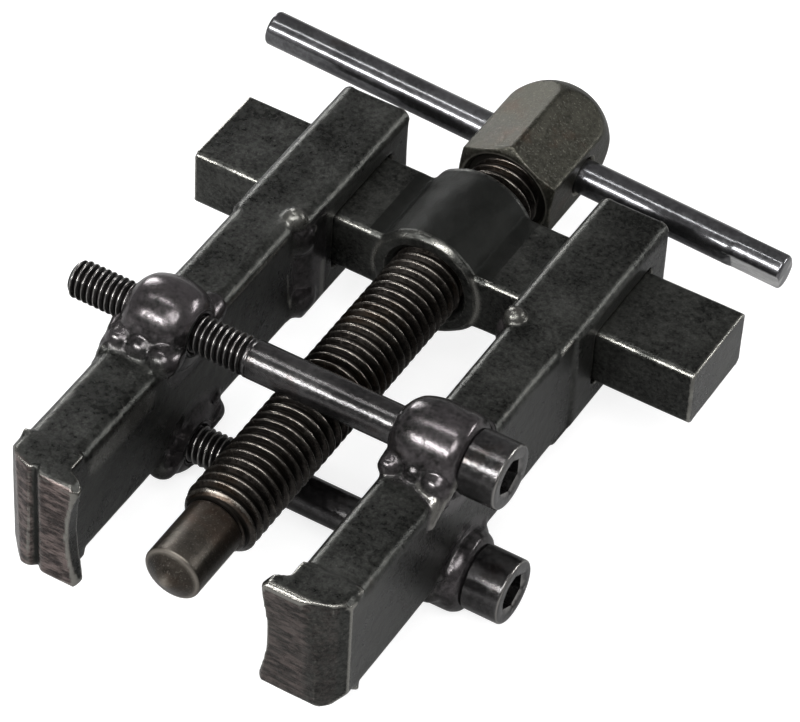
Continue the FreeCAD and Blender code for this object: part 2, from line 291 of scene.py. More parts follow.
def edgeWearGroup():
    # where black oxide has rubbed off: along folds, broken up by a coarse and a fine noise
    inputs = [("Vector", "Vector", None), ("Relief", "Float", 0.0), ("Reach", "Float", 0.3),
              ("Scale", "Float", 900.0)]
    tree, given, out = newGroup("edgeWear", inputs, [("Worn", "Float"), ("CreviceShadeAndDirt", "Float")])
    m = mathOn(tree)
    broken = noiseNode(tree, given["Vector"], given["Scale"], 6.0, 0.65)
    patchy = ramp(tree, noiseNode(tree, given["Vector"], 160.0, 2.0), 0.3, 0.7, 0.45, 1.1)
    fold = m("DIVIDE", given["Relief"], given["Reach"])
    highlightAndWear = m("ADD", fold, m("MULTIPLY", m("SUBTRACT", broken, 0.5), 1.3))
    tree.links.new(m("MULTIPLY", ramp(tree, highlightAndWear, 0.45, 1.15), patchy), out["Worn"])
    # a second mask darkens concave folds and hollows: painted shade, with some dirt
    tree.links.new(ramp(tree, m("MULTIPLY", given["Relief"], -1.0), 0.04, 0.4), out["CreviceShadeAndDirt"])
    return tree


def forgeGrainGroup():
    # scale and fine pits of hot-worked steel, with the cloudy sheen of the oxide over it
    inputs = [("Vector", "Vector", None), ("Scale", "Float", 2200.0), ("Pitting", "Float", 0.5)]
    tree, given, out = newGroup("forgeGrain", inputs,
                                [("Height", "Float"), ("Cloud", "Float"), ("Speckle", "Float")])
    m = mathOn(tree)
    fine = noiseNode(tree, given["Vector"], given["Scale"], 5.0, 0.7)
    lumps = noiseNode(tree, given["Vector"], 420.0, 3.0, 0.5)
    pits = tree.nodes.new("ShaderNodeTexVoronoi")
    pits.inputs["Scale"].default_value = 800.0
    tree.links.new(given["Vector"], pits.inputs["Vector"])
    pitted = m("MULTIPLY", ramp(tree, pits.outputs["Distance"], 0.0, 0.3, 1.0, 0.0), given["Pitting"])
    tree.links.new(m("SUBTRACT", m("ADD", m("MULTIPLY", fine, 0.5), lumps), pitted), out["Height"])
    broad = noiseNode(tree, given["Vector"], 95.0, 4.0, 0.6)
    clouds = m("ADD", broad, noiseNode(tree, given["Vector"], 1300.0, 5.0, 0.65))
    tree.links.new(ramp(tree, clouds, 0.70, 1.34), out["Cloud"])
    specks = noiseNode(tree, given["Vector"], 3200.0, 2.0, 0.5)
    tree.links.new(ramp(tree, specks, 0.55, 0.75), out["Speckle"])
    return tree


def toolMarksGroup():
    # fine lines left by turning, drawing or grinding; Stretch squeezes the noise across the marks
    inputs = [("Vector", "Vector", None), ("Stretch", "Vector", (1.0, 1.0, 1.0)), ("Scale", "Float", 900.0)]
    tree, given, out = newGroup("toolMarks", inputs, [("Height", "Float"), ("Streak", "Float")])
    squeeze = tree.nodes.new("ShaderNodeVectorMath")
    squeeze.operation = "MULTIPLY"
    tree.links.new(given["Vector"], squeeze.inputs[0])
    tree.links.new(given["Stretch"], squeeze.inputs[1])
    lines = noiseNode(tree, squeeze.outputs[0], given["Scale"], 6.0, 0.7)
    tree.links.new(lines, out["Height"])
    tree.links.new(ramp(tree, lines, 0.4, 0.66), out["Streak"])
    return tree


def oilStainGroup():
    # brown oil and light rust that dries in patches
    inputs = [("Vector", "Vector", None), ("Scale", "Float", 120.0), ("Cover", "Float", 0.5)]
    tree, given, out = newGroup("oilStain", inputs, [("Stain", "Float")])
    patches = noiseNode(tree, given["Vector"], given["Scale"], 7.0, 0.68)
    lifted = mathNode(tree, "ADD", patches, mathNode(tree, "SUBTRACT", given["Cover"], 0.5))
    tree.links.new(ramp(tree, lifted, 0.5, 0.68), out["Stain"])
    return tree


edgeWear, forgeGrain = edgeWearGroup(), forgeGrainGroup()
toolMarks, oilStain = toolMarksGroup(), oilStainGroup()


finishes = {
    "forgedSteel": {
        "dark": (0.010, 0.0105, 0.0095), "light": (0.066, 0.067, 0.062), "wornAndHighlight": (0.24, 0.235, 0.215),
        "stain": (0.026, 0.018, 0.013), "cover": 0.36, "creviceShadeAndDirt": (0.009, 0.0095, 0.0085),
        "metallic": 0.85, "smooth": 0.27, "rough": 0.42, "reach": 0.26, "grain": 2600.0, "pitting": 0.05,
        "bump": 0.26, "stretch": (1.0, 1.0, 1.0), "marks": 0.0, "polish": 0.14, "specks": 0.15,
        "groundAndReflectionDark": (0.022, 0.016, 0.015), "groundAndReflectionLight": (0.19, 0.148, 0.138),
        "heatTintAndSheen": (0.105, 0.095, 0.099), "heatedRough": 0.21,
    },
    "threadSteel": {
        "dark": (0.013, 0.011, 0.010), "light": (0.050, 0.044, 0.039), "wornAndHighlight": (0.17, 0.157, 0.140),
        "stain": (0.030, 0.018, 0.010), "cover": 0.52, "creviceShadeAndDirt": (0.004, 0.003, 0.002),
        "metallic": 0.9, "smooth": 0.20, "rough": 0.38, "reach": 0.9, "grain": 2600.0, "pitting": 0.15,
        "bump": 0.16, "stretch": (1.0, 1.0, 1.0), "marks": 0.0, "polish": 0.04, "specks": 0.1,
    },
    "screwSteel": {
        "dark": (0.030, 0.029, 0.030), "light": (0.105, 0.102, 0.102), "wornAndHighlight": (0.28, 0.27, 0.26),
        "stain": (0.045, 0.032, 0.027), "cover": 0.46, "creviceShadeAndDirt": (0.005, 0.004, 0.004),
        "metallic": 0.92, "smooth": 0.14, "rough": 0.27, "reach": 0.60, "grain": 2600.0, "pitting": 0.1,
        "bump": 0.12, "stretch": (0.12, 1.0, 1.0), "marks": 0.5, "polish": 0.03, "specks": 0.15,
    },
    "capSteel": {
        "dark": (0.020, 0.0195, 0.015), "light": (0.062, 0.060, 0.047), "wornAndHighlight": (0.26, 0.25, 0.215),
        "stain": (0.060, 0.034, 0.022), "cover": 0.47, "creviceShadeAndDirt": (0.008, 0.007, 0.005),
        "metallic": 0.85, "smooth": 0.38, "rough": 0.55, "reach": 0.50, "grain": 2400.0, "pitting": 0.1,
        "bump": 0.30, "stretch": (1.0, 1.0, 1.0), "marks": 0.15, "polish": 0.12, "specks": 0.3,
    },
    "pointSteel": {
        "dark": (0.012, 0.010, 0.008), "light": (0.055, 0.047, 0.039), "wornAndHighlight": (0.34, 0.31, 0.27),
        "stain": (0.045, 0.027, 0.018), "cover": 0.50, "creviceShadeAndDirt": (0.008, 0.006, 0.005),
        "metallic": 0.9, "smooth": 0.28, "rough": 0.44, "reach": 0.42, "grain": 2600.0, "pitting": 0.1,
        "bump": 0.16, "stretch": (0.06, 1.0, 0.06), "marks": 1.0, "polish": 0.08, "specks": 0.2,
    },
    "handleSteel": {
        "dark": (0.075, 0.075, 0.079), "light": (0.20, 0.20, 0.207), "wornAndHighlight": (0.38, 0.37, 0.37),
        "stain": (0.075, 0.058, 0.050), "cover": 0.42, "creviceShadeAndDirt": (0.02, 0.02, 0.02),
        "metallic": 0.97, "smooth": 0.19, "rough": 0.25, "reach": 0.50, "grain": 2600.0, "pitting": 0.05,
        "bump": 0.01, "stretch": (0.03, 1.0, 1.0), "marks": 0.5, "polish": 0.03, "specks": 0.04,
        "groundAndReflectionDark": (0.62, 0.62, 0.62), "groundAndReflectionLight": (0.92, 0.92, 0.90),
    },
}


def steelFinish(name):
    look = finishes[name]
    material = bpy.data.materials.new(name)
    material.use_nodes = True
    tree = material.node_tree
    steel = tree.nodes["Principled BSDF"]
    place = tree.nodes.new("ShaderNodeTexCoord").outputs["Object"]

    def shared(group, **values):
        node = tree.nodes.new("ShaderNodeGroup")
        node.node_tree = group
        tree.links.new(place, node.inputs["Vector"])
        for socket, value in values.items():
            node.inputs[socket].default_value = value
        return node

    def marked(attribute):
        node = tree.nodes.new("ShaderNodeAttribute")
        node.attribute_name = attribute
        return node.outputs["Fac"]

    m = mathOn(tree)
    wear = shared(edgeWear, Reach=look["reach"])
    tree.links.new(marked("relief"), wear.inputs["Relief"])
    grain = shared(forgeGrain, Scale=look["grain"], Pitting=look["pitting"])
    marks = shared(toolMarks, Stretch=look["stretch"])
    stain = shared(oilStain, Cover=look["cover"])
    wornAndHighlight, creviceShadeAndDirt = wear.outputs["Worn"], wear.outputs["CreviceShadeAndDirt"]
    cloud, streak = grain.outputs["Cloud"], marks.outputs["Streak"]

    colour = mixColors(tree, cloud, look["dark"], look["light"])
    colour = mixColors(tree, m("MULTIPLY", streak, 0.5 * look["marks"]), colour, look["light"])
    colour = mixColors(tree, m("MULTIPLY", stain.outputs["Stain"], 0.7), colour, look["stain"])
    if "heatTintAndSheen" in look:
        # welding leaves smooth, faintly purple metal; its lighter colour is also a painted sheen
        tintAndSheenColour = mixColors(tree, cloud, look["heatTintAndSheen"], look["dark"])
        colour = mixColors(tree, marked("heatTintAndSheen"), colour, tintAndSheenColour)
        outsideTintAndSheen = m("SUBTRACT", 1.0, marked("heatTintAndSheen"))
        wornAndHighlight = m("MULTIPLY", wornAndHighlight, outsideTintAndSheen)
    if "groundAndReflectionDark" in look:
        # faces ground bare after the black finish; on the tommy bar's flats the light colour is also a
        # painted reflection
        scratches = shared(toolMarks, Stretch=(0.25, 1.0, 1.0), Scale=1300.0)
        bareAndReflection = mixColors(tree, scratches.outputs["Streak"], look["groundAndReflectionDark"], look["groundAndReflectionLight"])
        colour = mixColors(tree, marked("groundAndReflection"), colour, bareAndReflection)
    # marked painted highlights and reflections join the wear and take its light colour
    wornAndHighlight = m("MAXIMUM", wornAndHighlight, marked("highlightAndWear"))
    colour = mixColors(tree, m("MULTIPLY", grain.outputs["Speckle"], look["specks"]), colour, look["wornAndHighlight"])
    # painted shade: concave folds, thread roots and the hub's side are darkened, with some dirt
    colour = mixColors(tree, creviceShadeAndDirt, colour, look["creviceShadeAndDirt"])
    colour = mixColors(tree, wornAndHighlight, colour, look["wornAndHighlight"])
    tree.links.new(colour, steel.inputs["Base Color"])

    lines = marks.outputs["Height"]
    uneven = m("ADD", cloud, m("MULTIPLY", lines, look["marks"]))
    rough = ramp(tree, uneven, 0.0, 1.4, look["smooth"], look["rough"])
    height = m("ADD", grain.outputs["Height"], m("MULTIPLY", lines, 1.5 * look["marks"]))
    if "heatTintAndSheen" in look:
        rough = m("ADD", m("MULTIPLY", rough, outsideTintAndSheen), m("MULTIPLY", marked("heatTintAndSheen"), look["heatedRough"]))
        height = m("MULTIPLY", height, m("MAXIMUM", outsideTintAndSheen, 0.25))
    rough = m("SUBTRACT", rough, m("MULTIPLY", wornAndHighlight, look["polish"]))
    rough = m("MAXIMUM", rough, 0.85 * look["smooth"])
    rough = m("ADD", rough, m("MULTIPLY", creviceShadeAndDirt, 0.3))  # dirt lies in the hollows
    tree.links.new(rough, steel.inputs["Roughness"])
    steel.inputs["Metallic"].default_value = look["metallic"]

    bump = tree.nodes.new("ShaderNodeBump")
    bump.inputs["Strength"].default_value = look["bump"]
    bump.inputs["Distance"].default_value = 0.4 * mm
    tree.links.new(height, bump.inputs["Height"])
    tree.links.new(bump.outputs["Normal"], steel.inputs["Normal"])
    return material


steels = {name: steelFinish(name) for name in finishes}
print("finishes made")


def threadTree():
    # a thread is one skin whose rows follow the helix
    inputs = [("Start", "Float", 0.0), ("End", "Float", 0.05), ("Thread End", "Float", 0.05),
              ("Pitch", "Float", 0.001), ("Radius", "Float", 0.003), ("Depth", "Float", 0.0006),
              ("End Bevel", "Float", 0.0008), ("Rows Per Turn", "Int", 12), ("Columns", "Int", 64),
              ("Material", "Material", None)]
    tree, given, out = newGroup("screwThread", inputs, [("Geometry", "Geometry")], "GeometryNodeTree")
    m = mathOn(tree)
    length = m("SUBTRACT", given["End"], given["Start"])
    turns = m("CEIL", m("ADD", m("DIVIDE", length, given["Pitch"]), 3.0))
    rows = m("MULTIPLY", turns, given["Rows Per Turn"])
    grid = tree.nodes.new("GeometryNodeMeshGrid")
    tree.links.new(m("ADD", given["Columns"], 1.0), grid.inputs["Vertices X"])
    tree.links.new(m("ADD", rows, 1.0), grid.inputs["Vertices Y"])
    spot = tree.nodes.new("ShaderNodeSeparateXYZ")
    tree.links.new(tree.nodes.new("GeometryNodeInputPosition").outputs[0], spot.inputs[0])
    column = m("ROUND", m("MULTIPLY", m("ADD", spot.outputs["X"], 0.5), given["Columns"]))
    around = m("DIVIDE", column, given["Columns"])
    row = m("ROUND", m("MULTIPLY", m("ADD", spot.outputs["Y"], 0.5), rows))
    risen = m("DIVIDE", row, given["Rows Per Turn"])
    turns = m("SUBTRACT", m("ADD", risen, around), 2.0)
    along = m("ADD", given["Start"], m("MULTIPLY", given["Pitch"], turns))
    held = m("MAXIMUM", m("MINIMUM", along, given["End"]), given["Start"])

    # flat crest, straight flanks, flat root
    phase = m("FRACT", risen)
    peak = m("SUBTRACT", 1.0, m("ABSOLUTE", m("SUBTRACT", m("MULTIPLY", phase, 2.0), 1.0)))
    crest = m("MAXIMUM", m("MINIMUM", m("DIVIDE", m("SUBTRACT", peak, 0.17), 0.70), 1.0), 0.0)
    fading = m("DIVIDE", m("SUBTRACT", given["Thread End"], along), m("MULTIPLY", given["Pitch"], 1.6))
    cut = m("MAXIMUM", m("MINIMUM", fading, 1.0), 0.0)
    depth = m("MULTIPLY", given["Depth"], cut)
    threaded = m("SUBTRACT", given["Radius"], m("MULTIPLY", depth, m("SUBTRACT", 1.0, crest)))
    behind = m("ADD", m("SUBTRACT", given["End"], held), given["End Bevel"])
    nearest = m("MINIMUM", m("SUBTRACT", held, given["Start"]), behind)
    bevelled = m("ADD", m("SUBTRACT", given["Radius"], given["End Bevel"]), nearest)
    step = m("DIVIDE", given["Pitch"], given["Rows Per Turn"])
    inside = m("MULTIPLY", m("GREATER_THAN", along, m("SUBTRACT", given["Start"], step)),
               m("LESS_THAN", along, m("ADD", given["End"], step)))
    reach = m("MULTIPLY", m("MINIMUM", threaded, bevelled), inside)
    angle = m("MULTIPLY", around, 2 * math.pi)
    moved = tree.nodes.new("ShaderNodeCombineXYZ")
    coordinates = (m("MULTIPLY", reach, m("SINE", angle)), held, m("MULTIPLY", reach, m("COSINE", angle)))
    for axis, value in enumerate(coordinates):
        tree.links.new(value, moved.inputs[axis])

    def follow(kind, geometry, **inputs):
        node = tree.nodes.new(kind)
        socket = "Geometry" if "Geometry" in node.inputs else "Mesh"
        tree.links.new(geometry, node.inputs[socket])
        for name, value in inputs.items():
            tree.links.new(value, node.inputs[name])
        return node

    folds = m("MULTIPLY", m("SUBTRACT", m("MULTIPLY", crest, 1.5), 0.7), cut)
    marked = follow("GeometryNodeStoreNamedAttribute", grid.outputs["Mesh"], Value=folds)
    marked.data_type, marked.domain = "FLOAT", "POINT"
    marked.inputs["Name"].default_value = "relief"
    placed = follow("GeometryNodeSetPosition", marked.outputs["Geometry"], Position=moved.outputs[0])
    merged = follow("GeometryNodeMergeByDistance", placed.outputs["Geometry"])
    merged.inputs["Distance"].default_value = 2e-6
    smooth = follow("GeometryNodeSetShadeSmooth", merged.outputs["Geometry"])
    real = follow("GeometryNodeRealizeInstances", smooth.outputs["Geometry"])
    coated = follow("GeometryNodeSetMaterial", real.outputs["Geometry"], Material=given["Material"])
    tree.links.new(coated.outputs["Geometry"], out["Geometry"])
    return tree


screwThread = threadTree()


def threadedBar(name, material, place=(0, 0, 0), lie=alongY, **sizes):
    piece = newPiece(name, bpy.data.meshes.new(name))
    modifier = piece.modifiers.new("thread", "NODES")
    modifier.node_group = screwThread
    items = screwThread.interface.items_tree
    identifiers = {item.name: item.identifier for item in items if item.in_out == "INPUT"}
    for size, value in sizes.items():
        modifier[identifiers[size.replace("_", " ")]] = value
    modifier[identifiers["Material"]] = material
    flattened(piece)
    piece.data.transform(Matrix.Translation(place) @ lie)
    return piece


forcingScrew = {"pitch": 1.75 * mm, "radius": 6 * mm, "depth": 1.07 * mm, "bevel": 1.2 * mm,
                "behind": 98.5 * mm}


def makeForcingScrew():
    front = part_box("forcing_screw")[0].y
    piece = threadedBar("forcing_screw_thread", steels["threadSteel"], Start=front,
                        End=forcingScrew["behind"], Thread_End=1.0, Pitch=forcingScrew["pitch"],
                        Radius=forcingScrew["radius"], Depth=forcingScrew["depth"],
                        End_Bevel=forcingScrew["bevel"], Rows_Per_Turn=14, Columns=72)
    finished(piece, "forcing_screw", "thread_steel", "forcing_screw")
    print("forcing screw made")


centrePoint = {"tipFlat": 0.35 * mm, "edge": 0.35 * mm}


def makeCentrePoint():
    low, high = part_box("centre_point")
    radius = high.x
    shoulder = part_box("forcing_screw")[0].y - 0.05 * mm
    tip, flat = low.y + 0.1 * mm, centrePoint["tipFlat"]
    cone = [(tip * (1 - share), flat + (radius - flat) * share, 0) for share in np.linspace(0, 0.9, 16)]
    outline = roundedOutline([(tip, 0.02 * mm, 0), *cone, (0, radius, centrePoint["edge"]),
                              (shoulder, radius, centrePoint["edge"]), (shoulder, radius * 0.5, 0)])
    piece = newPiece("centre_point_nose", turnedMesh("centre_point_nose", outline), steels["pointSteel"])
    markRelief(piece.data, 0)
    # handling has brightened the rim and the tip
    points = meshPoints(piece.data)
    away = np.hypot(points[:, 0], points[:, 2])
    rim = np.where(points[:, 1] < 0.5 * mm, np.exp(-((away - radius + 0.35 * mm) / (0.3 * mm)) ** 2), 0)
    end = np.exp(-(away / (0.8 * mm)) ** 2) * (points[:, 1] < 0)
    addMark(piece.data, "highlightAndWear", np.maximum(0.55 * rim, 0.7 * end))
    smoothShaded(piece)
    finished(piece, "centre_point", "point_steel", "centre_point")
    print("centre point made")


hexCap = {"edge": 0.5 * mm, "hole": 3.05 * mm, "holeFlare": 0.5 * mm, "softness": 0.22 * mm, "flats": 16 * mm}


def makeHexCap():
    low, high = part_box("hex_cap")
    front, flats = low.y, hexCap["flats"] / 2
    corner = flats / math.cos(math.pi / 6)
    dome = high.y - corner

    def hexagonal(angle, along, radius):
        # the smaller of the turned radius and the hexagon's, with the edge between them eased
        part = (angle - screwTurn) % (math.pi / 3) - math.pi / 6
        flat = flats / math.cos(part)
        eased = min(flat, corner - 0.12 * mm)
        blend = hexCap["softness"]
        gap = max(blend - abs(eased - radius), 0) / blend
        return min(eased, radius) - gap * gap * blend / 4

    outline = [(front + 0.9 * mm, 0.2 * mm), (front + 0.9 * mm, 6.6 * mm), (front + 0.5 * mm, 6.9 * mm),
               (front, 7.25 * mm), (front, 7.7 * mm)]
    outline += [(front + step * 0.12 * mm, 7.85 * mm + step * 0.21 * mm) for step in range(1, 9)]
    outline += [(front + (dome - front) * step / 12, corner + 1 * mm) for step in range(2, 12)]
    outline += [(dome + corner * math.sin(turn), corner * math.cos(turn))
                for turn in [math.pi / 2 * step / 40 for step in range(0, 40)]]
    piece = newPiece("hex_cap_nut", turnedMesh("hex_cap_nut", outline, 180, hexagonal), steels["capSteel"])

    # the hole that the tommy bar slides in, flared where it comes out
    station = (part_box("tommy_bar")[0].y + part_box("tommy_bar")[1].y) / 2
    hole, flare = hexCap["hole"], hexCap["holeFlare"]
    bore = [(-12 * mm, hole + 4 * mm + flare), (-flats + 0.3 * mm, hole), (flats - 0.3 * mm, hole),
            (12 * mm, hole + 4 * mm + flare)]
    cutter = turnedMesh("hole", bore, 64, place=(0, station, 0),
                        lie=Matrix.Rotation(screwTurn, 4, "Y") @ alongX)
    cutWith(piece, cutter)
    markRelief(piece.data, 0)
    smoothShaded(piece, 28)
    finished(piece, "forcing_screw", "cap_steel", "hex_cap")
    print("cap made")


tommyBar = {"radius": 2.75 * mm, "edge": 0.55 * mm, "flat": 2.1 * mm, "flatLength": 9.5 * mm, "flatTurn": 112}


def makeTommyBar():
    low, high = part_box("tommy_bar")
    station = (low.y + high.y) / 2
    left, right = low.x / math.cos(screwTurn), high.x / math.cos(screwTurn)
    radius, edge = tommyBar["radius"], tommyBar["edge"]
    pressed = right - tommyBar["flatLength"]
    turn = math.radians(tommyBar["flatTurn"])

    def flattenedEnd(angle, along, given):
        # two opposite flats on the right end, running out in a short slope
        share = min(max((along - pressed) / (1.6 * mm), 0), 1)
        share = share * share * (3 - 2 * share)
        limit = radius + (tommyBar["flat"] - radius) * share
        across = abs(math.cos(angle - turn))
        wide = given * (1 + 0.10 * share * (1 - across))
        return min(wide, limit / max(across, 0.05))

    steps = [(left + 0.02 * mm, 0.1 * mm, 0), (left + 0.02 * mm, radius, edge)]
    outline = roundedOutline(steps + [(right, radius, edge), (right, 0.1 * mm, 0)], 6)
    middle = len(outline) // 2
    stations = [left + (right - left) * step / 30 for step in range(1, 24)]
    stations += [pressed + 0.25 * mm * step for step in range(-1, 9)] + [right - 5 * mm, right - 2 * mm]
    outline[middle:middle] = [(along, radius) for along in sorted(stations)]
    mesh = turnedMesh("tommy_bar_rod", outline, 96, flattenedEnd, place=(0, station, 0),
                      lie=Matrix.Rotation(screwTurn, 4, "Y") @ alongX)
    piece = newPiece("tommy_bar_rod", mesh, steels["handleSteel"])
    markRelief(piece.data, 0)
    # the flats get a light bare-steel colour that is also a painted reflection of the floor
    points = meshPoints(mesh)
    upright = points[:, 2] * math.cos(screwTurn) + points[:, 0] * math.sin(screwTurn)
    facing = np.abs(upright * math.cos(turn) - (points[:, 1] - station) * math.sin(turn))
    bareAndReflection = (np.abs(facing - tommyBar["flat"]) < 0.03 * mm) & (points[:, 0] > pressed * math.cos(screwTurn))
    addMark(mesh, "groundAndReflection", bareAndReflection)
    smoothShaded(piece, 25)
    finished(piece, "tommy_bar", "handle_steel", "tommy_bar")
    print("tommy bar made")


clampScrew = {"pitch": 1 * mm, "radius": 3 * mm, "depth": 0.61 * mm, "bevel": 0.75 * mm,
              "threaded": 30.3 * mm, "headHeight": 6 * mm, "headEdge": 0.45 * mm,
              "socketFlats": 5 * mm, "socketDepth": 3.4 * mm}


def makeClampScrew(level):
    node = f"{level}_clamp_screw"
    low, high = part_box(node)
    seat = high.x - clampScrew["headHeight"]
    axis = ((low + high) / 2).yz
    place = (0, axis[0], axis[1])
    shank = threadedBar(f"{level}_clamp_shank", steels["screwSteel"], place, alongX, Start=low.x,
                        End=seat + 1 * mm, Thread_End=low.x + clampScrew["threaded"],
                        Pitch=clampScrew["pitch"],
                        Radius=clampScrew["radius"] - 0.03 * mm, Depth=clampScrew["depth"],
                        End_Bevel=clampScrew["bevel"], Rows_Per_Turn=12, Columns=48)
    finished(shank, node, "screw_steel", node)

    radius, edge = (high.y - low.y) / 2, clampScrew["headEdge"]
    face, socket = high.x, clampScrew["socketFlats"] / 2
    floor = face - clampScrew["socketDepth"]
    outline = roundedOutline([(seat, 0.5 * mm, 0), (seat, radius, 0.25 * mm), (face, radius, edge),
                              (face, radius * 0.66, 0)], 6)

    def hexagonalInside(angle, along, given):
        if given > radius * 0.66 - 0.01 * mm:
            return given
        part = angle % (math.pi / 3) - math.pi / 6
        return given / socket * min(socket / math.cos(part), socket * 1.13)

    outline += [(face - 0.35 * mm, socket), (face - 0.6 * mm, socket), (floor + 0.3 * mm, socket),
                (floor, socket * 0.9), (floor - 0.6 * mm, socket * 0.4), (floor - 0.9 * mm, 0.1 * mm)]
    mesh = turnedMesh(f"{level}_clamp_head", outline, 120, hexagonalInside, place, alongX)
    head = newPiece(f"{level}_clamp_head", mesh, steels["screwSteel"])
    markRelief(head.data, 0)
    points = meshPoints(head.data)
    away = np.hypot(points[:, 1] - axis[0], points[:, 2] - axis[1])
    rim = np.hypot(away - radius + 0.13 * mm, points[:, 0] - face + 0.13 * mm)
    addMark(head.data, "highlightAndWear", np.exp(-(rim / (0.16 * mm)) ** 2))
    smoothShaded(head)
    finished(head, node, "screw_steel", node)
    print(level, "clamp screw made")


# forged pieces are rough shapes fused into one skin, pressed to shape, then eased
forging = {"cell": 0.32 * mm, "ease": 6, "unevenness": 0.045 * mm, "barCell": 0.28 * mm, "barEase": 2,
           "dents": 0.27 * mm}


def pressed(points, place, normal, within):
    # metal beyond a plane is pushed back onto it, where within allows
    normal = np.array(Vector(normal).normalized())
    beyond = np.maximum((points - np.array(place)) @ normal, 0) * within
    return points - beyond[:, None] * normal


def cornersRounded(points, axes, centre, reach, bevel, within):
    # the four bevels of a bar seen along its length become arcs of the same depth
    radius = bevel / (2 - math.sqrt(2))
    seen = points[:, axes] - np.array(centre)
    core = np.array(reach) - radius
    beyond = np.maximum(np.abs(seen) - core, 0)
    length = np.hypot(*beyond.T)
    corner = within & (beyond > 0).all(1) & (length > radius * 0.8) & (length < radius * 1.12)
    arc = np.sign(seen) * (core + beyond * (radius / np.maximum(length, 1e-9))[:, None])
    rounded = points.copy()
    rounded[:, axes] = np.where(corner[:, None], arc + np.array(centre), points[:, axes])
    return rounded


def softStep(values, low, high):
    share = np.clip((values - low) / (high - low), 0, 1)
    return share * share * (3 - 2 * share)


def lineDistance(points, start, end):
    start, along = np.array(start), np.array(end - start)
    share = np.clip((points - start) @ along / (along @ along), 0, 1)
    return np.sqrt(((points - start - share[:, None] * along) ** 2).sum(1))


def nearLine(points, start, end, full, none):
    # 1 nearer to the line than full, 0 beyond none
    return 1 - softStep(lineDistance(points, start, end), full, none)


def forged(name, shape, pressing=None, cell=forging["cell"], ease=forging["ease"]):
    mesh = bpy.data.meshes.new(name)
    shape.to_mesh(mesh)
    shape.free()
    piece = newPiece(name, mesh)
    fuse = piece.modifiers.new("fuse", "REMESH")
    fuse.mode, fuse.voxel_size = "VOXEL", cell
    flattened(piece)
    if pressing:
        movePoints(piece.data, pressing(meshPoints(piece.data)))
    easing = piece.modifiers.new("ease", "SMOOTH")
    easing.factor, easing.iterations = 0.5, ease
    flattened(piece)
    points = meshPoints(piece.data)
    normals = readValues(piece.data.vertices, "normal", 3)
    swell = np.array([noise.noise(Vector(point) * 120) + 0.4 * noise.noise(Vector(point) * 420)
                      for point in points])
    movePoints(piece.data, points + normals * (swell * forging["unevenness"])[:, None])
    piece.data.shade_smooth()
    piece.data.materials.clear()
    piece.data.materials.append(steels["forgedSteel"])
    markRelief(piece.data)
    return piece


crossbar = {"bevel": 0.7 * mm, "station": 76.4 * mm, "height": 10.2 * mm, "depth": 16 * mm,
            "hubPaintedShade": -0.33, "rimWearAndHighlight": 0.38 * mm, "edgeWearAndHighlight": (0.12 * mm, 0.42 * mm)}


def makeCrossbar():
    middle, half = (crossbar["station"], 0), (crossbar["depth"] / 2, crossbar["height"] / 2)
    shape = bmesh.new()
    cadCopy(shape, "crossbar")
    low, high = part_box("crossbar")
    hub = high.z + 1 * mm

    def hammered(points):
        # the hub keeps the dents of the hammer
        beat = np.array([noise.noise(Vector(point) * 310) for point in points]) * forging["dents"]
        near = 1 - softStep(np.abs(points[:, 0]), hub - 1.5 * mm, hub)
        away = np.maximum(np.hypot(points[:, 0], points[:, 2]), mm)
        outwards = points * np.array((1, 0, 1)) / away[:, None]
        points = points + outwards * (beat * near)[:, None]
        return cornersRounded(points, [1, 2], middle, half, crossbar["bevel"], np.abs(points[:, 0]) > hub)

    piece = forged("crossbar_forging", shape, hammered, forging["barCell"], forging["barEase"])
    # painted shade on the hub's side: it gets the relief of a hollow, so it is darkened like one and only its
    # rims look worn
    points = meshPoints(piece.data)
    inside = (high.y - low.y) / 2 - 1.2 * mm
    side = (np.abs(points[:, 1] - (low.y + high.y) / 2) < inside) & (np.abs(points[:, 0]) < hub)
    relief = piece.data.attributes["relief"].data
    relief.foreach_set("value", np.where(side, crossbar["hubPaintedShade"], readValues(relief, "value")))
    # the hub's front rim and the bar's front top edge get light worn metal in places, a painted highlight as
    # well as wear
    around = np.hypot(points[:, 0], points[:, 2]) - hub + 1.35 * mm
    rim = np.hypot(points[:, 1] - low.y - 0.35 * mm, around)
    patchy = np.array([noise.noise(Vector(point) * 260) for point in points])
    highlightAndWear = np.exp(-(rim / crossbar["rimWearAndHighlight"]) ** 2) * softStep(patchy, -0.25, 0.15)
    edge = np.hypot(points[:, 1] - middle[0] + half[0] - 0.2 * mm, points[:, 2] - half[1] + 0.2 * mm)
    edge = 1 - softStep(edge, *crossbar["edgeWearAndHighlight"])
    highlightAndWear = np.maximum(highlightAndWear, edge * softStep(patchy, -0.5, 0.0) * (np.abs(points[:, 0]) > hub - 0.5 * mm))
    addMark(piece.data, "highlightAndWear", highlightAndWear)
    finished(piece, "crossbar", "forged_steel", "crossbar")
    print("crossbar made")


